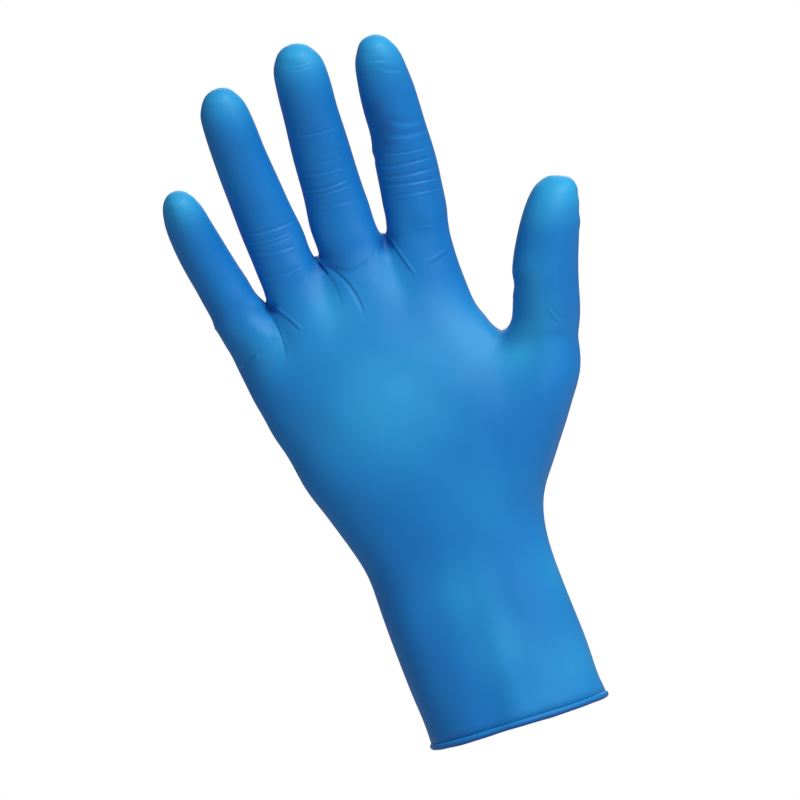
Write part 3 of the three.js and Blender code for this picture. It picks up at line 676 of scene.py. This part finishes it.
# Slack upright waves of the sleeve: height, waves round it, waves up it, start and unevenness
slack_waves = [
    (0.00024, 6, 5, 0.6, 0.4),
    (0.00016, 11, -7, 2.1, 0.0),
]
slack = dict(top=0.085, fade=0.05, uneven_waves=9)
# The whole film is never quite even: how much, and how fast it goes up and down each way
uneven = dict(height=0.00010, across=310, across_start=1.3, up=240, up_start=0.4)


def creased(places, normals):
    """How far each point of the film stands out of, or is pressed into, the smooth form."""
    flat = places[:, [0, 2]]
    height = np.zeros(len(places))
    for creases, shape_of, side, fade in crease_kinds:
        facing = ease((normals[:, 1] * side - crease_facing["start"]) / crease_facing["span"])
        for crease in creases:
            along, off = across_line(flat, crease)
            ends = ease((0.5 + fade / 4 - abs(along - 0.5)) / fade)
            across = shape_of(off, crease[width_column] / per_metre)
            height += crease[depth_column] / per_metre * ends * facing * across
    for x, z, reach_x, reach_z, rise, side in bumps:
        facing = ease(normals @ facings[side] / bump_facing_span)
        aside = (flat[:, 0] - x / per_metre) / reach_x
        above = (flat[:, 1] - z / per_metre) / reach_z
        height += rise / per_metre * facing * np.exp(-(aside ** 2 + above ** 2) * per_metre ** 2)
    around = np.arctan2(places[:, 0], -places[:, 1])
    low = ease((slack["top"] - places[:, 2]) / slack["fade"])
    up = places[:, 2] / glove_length
    for rise, round_it, up_it, start, swing in slack_waves:
        wave = np.sin(round_it * around + up_it * up + start)
        height += rise * low * wave * (1 + swing * np.sin(slack["uneven_waves"] * up))
    across_wave = np.sin(places[:, 0] * uneven["across"] + uneven["across_start"])
    up_wave = np.sin(places[:, 2] * uneven["up"] + uneven["up_start"])
    return height + uneven["height"] * across_wave * up_wave


# How near to a crease the faces are cut finer: in half widths, beyond that, and past its ends
cut_reach = dict(half_widths=2.8e-3, margin=0.6e-3, along=0.58)
wrinkle_cuts = 7
groove_cuts = 4
back_cuts = 2


def cut_finer(skin, kinds, cuts, upright):
    """Cuts the faces near the creases finer, across both ways or only up and down."""
    faces = list(skin.faces)
    flat = np.array([face.calc_center_median() for face in faces])[:, [0, 2]]
    facing = np.array([face.normal.y for face in faces])
    near = np.zeros(len(faces), dtype=bool)
    for creases, _, side, _ in kinds:
        for crease in creases:
            along, off = across_line(flat, crease)
            beside = abs(off) < cut_reach["half_widths"] * crease[width_column] + cut_reach["margin"]
            within = abs(along - 0.5) < cut_reach["along"]
            near |= beside & within & (facing * side > crease_facing["start"])
    edges = {edge for i in np.flatnonzero(near) for edge in faces[i].edges}
    if upright:
        runs = {edge: edge.verts[0].co - edge.verts[1].co for edge in edges}
        edges = {edge for edge, run in runs.items() if abs(run.z) > abs(run.x) + abs(run.y)}
    bmesh.ops.subdivide_edges(skin, edges=list(edges), cuts=cuts, use_grid_fill=True)


outer, outer_quads = smooth_skin(control, 2)
shape = bpy.data.meshes.new("film_outer")
shape.from_pydata([tuple(p) for p in outer], [], [tuple(q) for q in outer_quads])
shape.update()
skin = bmesh.new()
skin.from_mesh(shape)
cut_finer(skin, [crease_kinds[0]], wrinkle_cuts, True)
cut_finer(skin, crease_kinds[1:3], groove_cuts, False)
cut_finer(skin, [crease_kinds[3]], back_cuts, True)
skin.to_mesh(shape)
skin.free()


def vertices_of(mesh):
    places = np.empty(len(mesh.vertices) * 3)
    mesh.vertices.foreach_get("co", places)
    normals = np.empty(len(mesh.vertices) * 3)
    mesh.vertex_normals.foreach_get("vector", normals)
    return places.reshape(-1, 3), normals.reshape(-1, 3)


def rim_of(places):
    """The open edge at the foot, in order round the sleeve."""
    nearly_none = 1e-6
    rim = np.flatnonzero(abs(places[:, 2] - film_foot) < nearly_none)
    return rim[np.argsort(np.arctan2(places[rim, 1], places[rim, 0]))]


places_out, normals_out = vertices_of(shape)
rim_out = rim_of(places_out)
drawn = places_out + normals_out * creased(places_out, normals_out)[:, None]
# The rim runs down into the rolled bead
drawn[rim_out, 2] = film_rim

inner, inner_quads = smooth_skin(control, 1)
lining = bpy.data.meshes.new("film_inner")
lining.from_pydata([tuple(p) for p in inner], [], [tuple(q) for q in inner_quads])
places_in, normals_in = vertices_of(lining)
rim_in = rim_of(places_in)
normals_in[rim_in, 2] = 0
inset = places_in + normals_in * (creased(places_in, normals_in) - film_wall)[:, None]
inset[rim_in, 2] = film_rim

shift = len(drawn)
film_faces = [tuple(p.vertices) for p in shape.polygons]
film_faces += [tuple(shift + v for v in reversed(q)) for q in inner_quads.tolist()]
half = len(rim_out) // len(rim_in)
for i, here in enumerate(rim_in):
    there = rim_in[(i + 1) % len(rim_in)]
    nearest = int(np.argmin(np.linalg.norm(places_out[rim_out] - places_in[here], axis=1)))
    strip = [rim_out[(nearest + j) % len(rim_out)] for j in range(half + 1)]
    across_rim = [shift + here, *strip, shift + there]
    film_faces.append(tuple(int(v) for v in reversed(across_rim)))
film_mesh = bpy.data.meshes.new("glove_skin")
film_mesh.from_pydata([tuple(p) for p in np.vstack([drawn, inset])], [], film_faces)
film_mesh.update()
film_mesh.shade_smooth()
film = bpy.data.objects.new("glove_skin", film_mesh)
bpy.context.scene.collection.objects.link(film)

# Where the film is drawn thin over the hand it is paler, and painted highlights lie where the lights fall
# on it; painted shade lies in the crotches and down the index finger's left edge:
#  the place, the reach in millimetres and how much
paler_and_highlight_patches = [
    # the fingertips and the thumb down its inner edge: paler thin film with painted highlights
    (-57.5, 213.5, 11.0, 0.9), (-32.0, 243.5, 12.0, 0.8), (-2.5, 250.0, 12.0, 0.9),
    (25.5, 245.5, 12.0, 0.9), (71.5, 178.0, 12.0, 1.0),
    (58.0, 169.0, 7.0, 0.4), (51.0, 151.0, 8.0, 0.3), (48.0, 136.0, 8.0, 0.3),
    # the palm: painted highlights
    (36.0, 127.0, 15.0, 0.4), (38.5, 125.0, 6.0, 0.4), (22.0, 139.0, 13.0, 0.3),
    (-20.0, 158.0, 10.0, 0.5), (-47.0, 159.0, 8.0, 0.15), (-12.0, 122.0, 24.0, 0.7),
    (-42.0, 150.0, 10.0, 0.35), (3.0, 163.0, 10.0, 0.3),
    # the sleeve: painted highlights where the key light falls
    (10.0, 78.0, 14.0, 0.25), (-4.0, 50.0, 12.0, 0.4), (1.0, 29.0, 11.0, 0.45),
    (7.0, 8.0, 11.0, 0.25), (26.0, 16.0, 15.0, 0.45), (31.0, 48.0, 13.0, 0.45),
]
# Painted shade in the finger and thumb crotches, in the pocket below the middle and index crotch, and down
# the index finger's left edge
painted_shade = [
    (4.8, 175.8, 2.8, 0.9), (-13.5, 174.0, 5.0, 0.4), (-19.0, 174.5, 2.2, 0.6),
    (-40.5, 165.0, 1.6, 0.8), (35.0, 129.8, 4.0, 0.35),
    (17.5, 214.5, 3.5, 0.5), (15.5, 208.5, 3.5, 0.5), (15.0, 221.0, 3.5, 0.4),
]
skin_places = np.vstack([drawn, inset])[:, [0, 2]] * per_metre


def patches(rows):
    total = np.zeros(len(skin_places))
    for x, z, reach, amount in rows:
        total += amount * hill(np.hypot(skin_places[:, 0] - x, skin_places[:, 1] - z), reach)
    return np.clip(total, 0, 1)


# The first mask is paler thin film with painted highlights, the second is painted shade
for name, rows in (("paler_and_highlight", paler_and_highlight_patches), ("painted_shade", painted_shade)):
    patch = film_mesh.attributes.new(name, "FLOAT", "POINT")
    patch.data.foreach_set("value", patches(rows))

# The third colour is the paler tone of thin film and painted highlights, the fourth the painted shade
film_blue = (0.004, 0.150, 0.495, 1)
film_cloud = (0.006, 0.190, 0.580, 1)
film_paler_and_highlight = (0.030, 0.370, 0.720, 1)
film_painted_shade = (0.004, 0.055, 0.300, 1)
film_finish = bpy.data.materials.new("blue_film")
film_finish.use_nodes = True
nodes, links = film_finish.node_tree.nodes, film_finish.node_tree.links
surface = nodes["Principled BSDF"]
surface.inputs["Specular IOR Level"].default_value = 0.28
where = nodes.new("ShaderNodeTexCoord")
# This attribute carries the paler tone of thin film and the painted highlights
stretch = nodes.new("ShaderNodeAttribute")
stretch.attribute_name = "paler_and_highlight"
clouds = nodes.new("ShaderNodeTexNoise")
clouds.inputs["Scale"].default_value = 38
clouds.inputs["Detail"].default_value = 3
links.new(where.outputs["Object"], clouds.inputs["Vector"])
body_colour = nodes.new("ShaderNodeMix")
body_colour.data_type = "RGBA"
body_colour.inputs["A"].default_value = film_blue
body_colour.inputs["B"].default_value = film_cloud
links.new(clouds.outputs["Fac"], body_colour.inputs["Factor"])
paler_and_highlight_colour = nodes.new("ShaderNodeMix")
paler_and_highlight_colour.data_type = "RGBA"
paler_and_highlight_colour.inputs["B"].default_value = film_paler_and_highlight
links.new(stretch.outputs["Fac"], paler_and_highlight_colour.inputs["Factor"])
links.new(body_colour.outputs["Result"], paler_and_highlight_colour.inputs["A"])
# This mixes in the painted shade
painted_shade_colour = nodes.new("ShaderNodeMix")
painted_shade_colour.data_type = "RGBA"
painted_shade_colour.inputs["B"].default_value = film_painted_shade
painted_shade_input = nodes.new("ShaderNodeAttribute")
painted_shade_input.attribute_name = "painted_shade"
links.new(painted_shade_input.outputs["Fac"], painted_shade_colour.inputs["Factor"])
links.new(paler_and_highlight_colour.outputs["Result"], painted_shade_colour.inputs["A"])
links.new(painted_shade_colour.outputs["Result"], surface.inputs["Base Color"])
satin = nodes.new("ShaderNodeMapRange")
satin.inputs["To Min"].default_value = 0.46
satin.inputs["To Max"].default_value = 0.58
links.new(clouds.outputs["Fac"], satin.inputs["Value"])
links.new(satin.outputs["Result"], surface.inputs["Roughness"])
grain = nodes.new("ShaderNodeTexNoise")
grain.inputs["Scale"].default_value = 1400
grain.inputs["Detail"].default_value = 2
links.new(where.outputs["Object"], grain.inputs["Vector"])
dimple = nodes.new("ShaderNodeBump")
dimple.inputs["Strength"].default_value = 0.12
dimple.inputs["Distance"].default_value = 0.0002
links.new(grain.outputs["Fac"], dimple.inputs["Height"])
links.new(dimple.outputs["Normal"], surface.inputs["Normal"])
film_mesh.materials.append(film_finish)
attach(film, "root")
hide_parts("glove_film")

# The rolled bead.
# The film's own lower edge, rolled up on itself while the film is still wet, so that it is
# a soft round cord some ten layers thick that grips the wrist and stops the film tearing.
bead_roll = 0.0026
bead_turns = 240
bead_sides = 24
bead_sink = 0.00015
# The cuff is this much shallower than it is wide
cuff_flatness = 0.77
# The roll's thickness and height run unevenly round the cuff: how much, how many times, start
thickness_ripples = [(0.035, 7, 1.0), (0.025, 17, 0.0)]
height_ripple = (0.00012, 5, 0.5)
# A fold line lies where the film runs into the roll, on the outside near the top
fold_line = dict(depth=0.13, at=1.05, reach=0.16)


def ripple(around, row):
    much, times, start = row
    return much * math.sin(times * around + start)


edge = drawn[rim_out]
edge_angles = np.arctan2(edge[:, 1] / cuff_flatness, edge[:, 0])
bead_points = []
for i in range(bead_turns):
    around = -math.pi + 2 * math.pi * i / bead_turns
    x = np.interp(around, edge_angles, edge[:, 0], period=2 * math.pi)
    y = np.interp(around, edge_angles, edge[:, 1], period=2 * math.pi)
    bead_points.append((x, y))
bead_points = np.array(bead_points)
tangent = np.roll(bead_points, -1, 0) - np.roll(bead_points, 1, 0)
outward = np.stack([tangent[:, 1], -tangent[:, 0]], 1)
outward /= np.linalg.norm(outward, axis=1)[:, None]
bead_vertices = []
for i, (point, out) in enumerate(zip(bead_points, outward)):
    around = 2 * math.pi * i / bead_turns
    radius = bead_roll / 2 * (1 + sum(ripple(around, row) for row in thickness_ripples))
    lift = bead_roll / 2 - bead_sink + ripple(around, height_ripple)
    middle = point - out * film_wall / 2
    for j in range(bead_sides):
        turn = 2 * math.pi * j / bead_sides
        pinch = 1 - fold_line["depth"] * math.exp(-((turn - fold_line["at"]) / fold_line["reach"]) ** 2)
        flat = middle + out * radius * pinch * math.cos(turn)
        bead_vertices.append((flat[0], flat[1], lift + radius * pinch * math.sin(turn)))
bead_faces = []
for i in range(bead_turns):
    j = (i + 1) % bead_turns
    here, there = i * bead_sides, j * bead_sides
    for k in range(bead_sides):
        m = (k + 1) % bead_sides
        bead_faces.append((here + k, there + k, there + m, here + m))
bead_mesh = bpy.data.meshes.new("cuff_roll")
bead_mesh.from_pydata(bead_vertices, [], bead_faces)
bead_mesh.update()
bead_mesh.shade_smooth()
# The roll has a painted highlight over its top and painted shade underneath
top_highlight = dict(amount=0.6, start=0.3, span=0.5)
foot_shade = dict(amount=0.85, span=0.7)
rolled = np.sin(2 * math.pi * (np.arange(len(bead_vertices)) % bead_sides) / bead_sides)
top_highlight_amounts = top_highlight["amount"] * ease((rolled - top_highlight["start"]) / top_highlight["span"])
foot_shade_amounts = foot_shade["amount"] * ease(-rolled / foot_shade["span"])
for name, amounts in (("paler_and_highlight", top_highlight_amounts), ("painted_shade", foot_shade_amounts)):
    patch = bead_mesh.attributes.new(name, "FLOAT", "POINT")
    patch.data.foreach_set("value", amounts)
bead = bpy.data.objects.new("cuff_roll", bead_mesh)
bpy.context.scene.collection.objects.link(bead)
bead_finish = film_finish.copy()
bead_finish.name = "blue_rolled_film"
bead_mesh.materials.append(bead_finish)
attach(bead, "root")
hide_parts("cuff_bead")

# The studio.
# A plain pale floor under the glove, a white room, and soft lights: a broad one above and to
# the right in front, and weaker ones to the left and behind.
floor_reach = 0.7
floor_top = -0.12
floor_turns = ((-1, -1), (1, -1), (1, 1), (-1, 1))
floor_corners = [(x * floor_reach, y * floor_reach, floor_top) for x, y in floor_turns]
floor_mesh = bpy.data.meshes.new("floor")
floor_mesh.from_pydata(floor_corners, [], [(0, 1, 2, 3)])
floor = bpy.data.objects.new("floor", floor_mesh)
bpy.context.scene.collection.objects.link(floor)
floor_finish = bpy.data.materials.new("pale_floor")
floor_finish.use_nodes = True
floor_surface = floor_finish.node_tree.nodes["Principled BSDF"]
floor_surface.inputs["Base Color"].default_value = (0.65, 0.65, 0.65, 1)
floor_surface.inputs["Roughness"].default_value = 0.8
floor_mesh.materials.append(floor_finish)

room = bpy.data.worlds.new("room")
bpy.context.scene.world = room
room.use_nodes = True
nodes, links = room.node_tree.nodes, room.node_tree.links
nodes.clear()
seen = nodes.new("ShaderNodeBackground")
seen.inputs["Color"].default_value = (1, 1, 1, 1)
seen.inputs["Strength"].default_value = 1.0
lit = nodes.new("ShaderNodeBackground")
lit.inputs["Color"].default_value = (0.92, 0.96, 1, 1)
lit.inputs["Strength"].default_value = 0.24
ray = nodes.new("ShaderNodeLightPath")
choose = nodes.new("ShaderNodeMixShader")
sky = nodes.new("ShaderNodeOutputWorld")
links.new(ray.outputs["Is Camera Ray"], choose.inputs["Fac"])
links.new(lit.outputs["Background"], choose.inputs[1])
links.new(seen.outputs["Background"], choose.inputs[2])
links.new(choose.outputs["Shader"], sky.inputs["Surface"])

glove_middle = Vector((0.0, 0.0, 0.12))


def soft_light(name, place, breadth, power, colour):
    lamp = bpy.data.lights.new(name, "AREA")
    lamp.shape = "SQUARE"
    lamp.size = breadth
    lamp.energy = power
    lamp.color = colour
    light = bpy.data.objects.new(name, lamp)
    light.location = place
    light.rotation_euler = (glove_middle - Vector(place)).to_track_quat("-Z", "Y").to_euler()
    bpy.context.scene.collection.objects.link(light)


soft_light("key", (0.80, -1.00, 0.95), 0.8, 22.5, (0.88, 1.0, 0.94))
soft_light("fill", (-0.9, -0.9, 0.2), 0.9, 1.0, (0.9, 0.95, 1.0))
soft_light("back", (0.2, 1.0, 0.8), 0.9, 7, (0.9, 0.97, 1.0))

# The camera stands far off, leant over so that the glove leans to the left
lean = math.radians(17.3)
camera_place = (-0.0065, -2.4, 0.1212)
palm_away = 2.394
seen_breadth = 0.2809
camera_data = bpy.data.cameras.new("camera")
camera_data.sensor_width = 36
camera_data.lens = camera_data.sensor_width * palm_away / seen_breadth
camera = bpy.data.objects.new("camera", camera_data)
right = Vector((math.cos(lean), 0, -math.sin(lean)))
above = Vector((math.sin(lean), 0, math.cos(lean)))
towards = Vector((0, -1, 0))
turn = Matrix((right, above, towards)).transposed().to_4x4()
camera.matrix_world = Matrix.Translation(camera_place) @ turn
bpy.context.scene.collection.objects.link(camera)
bpy.context.scene.camera = camera
bpy.context.scene.view_settings.view_transform = "Standard"
